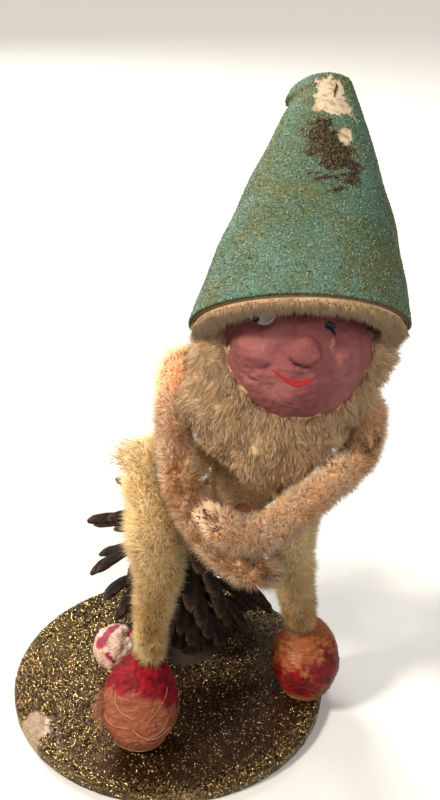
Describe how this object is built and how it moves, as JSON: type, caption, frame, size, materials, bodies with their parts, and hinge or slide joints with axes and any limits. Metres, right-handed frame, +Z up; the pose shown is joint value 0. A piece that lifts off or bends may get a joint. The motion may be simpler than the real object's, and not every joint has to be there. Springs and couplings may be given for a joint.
{
  "type": "garden gnome ornament",
  "caption": "Small table ornament: a bearded gnome in a tall green cone hat sits on an open pine cone, hands crossed, ball feet and a toadstool on a round glittered base.",
  "frame": {"origin": "centre of the round board's underside, on the surface it stands on", "axes": "+Z up; the gnome faces -Y; its right side is at -X, so +X is to the right of someone looking at its face"},
  "size_m": [0.0859, 0.0782, 0.1445],
  "materials": {
    "board": "bare kraft board",
    "glitter": "gold glass glitter set in varnish",
    "glue": "dried amber glue",
    "cone_wood": "dark dry wood",
    "cone_scale": "weathered dry wood with paler tips",
    "torso_cotton": "felted cotton",
    "arm_chenille": "peach chenille pile",
    "leg_chenille": "cream chenille pile",
    "wire": "dull twisted wire",
    "right_foot_cotton": "spun cotton, crimson paint worn to salmon fibre",
    "left_foot_cotton": "spun cotton, mottled orange and crimson, slightly glossy",
    "face_cotton": "pressed cotton, matt dusty pink paint",
    "fur": "short cream fur",
    "hat_paper": "plain rolled paper",
    "hat_flock": "green flock with fine grit",
    "stem_cotton": "bare spun cotton",
    "cap_cotton": "spun cotton, chipped cream and crimson paint",
    "bead": "worn orange-brown enamel"
  },
  "bodies": {
    "root": {"base_board": "board", "glitter_coat": "glitter", "cone_glue": "glue", "cone_core": "cone_wood", "cone_scales_lower": "cone_scale", "cone_scales_middle": "cone_scale", "cone_scales_upper": "cone_scale", "seat_glue": "glue", "torso": "torso_cotton", "torso_wrap": "arm_chenille", "neck_wire": "wire", "right_leg_wire": "wire", "right_leg_chenille": "leg_chenille", "left_leg_wire": "wire", "left_leg_chenille": "leg_chenille", "right_foot": "right_foot_cotton", "left_foot": "left_foot_cotton", "right_foot_glue": "glue", "left_foot_glue": "glue", "right_arm_wire": "wire", "right_arm_chenille": "arm_chenille", "left_arm_wire": "wire", "left_arm_chenille": "arm_chenille", "head": "face_cotton", "beard": "fur", "brow_fur": "fur", "nape_fur": "fur", "hat_paper": "hat_paper", "hat_cover": "hat_flock", "toadstool_stem": "stem_cotton", "toadstool_cap": "cap_cotton", "waist_bead": "bead"}
  },
  "joints": []
}
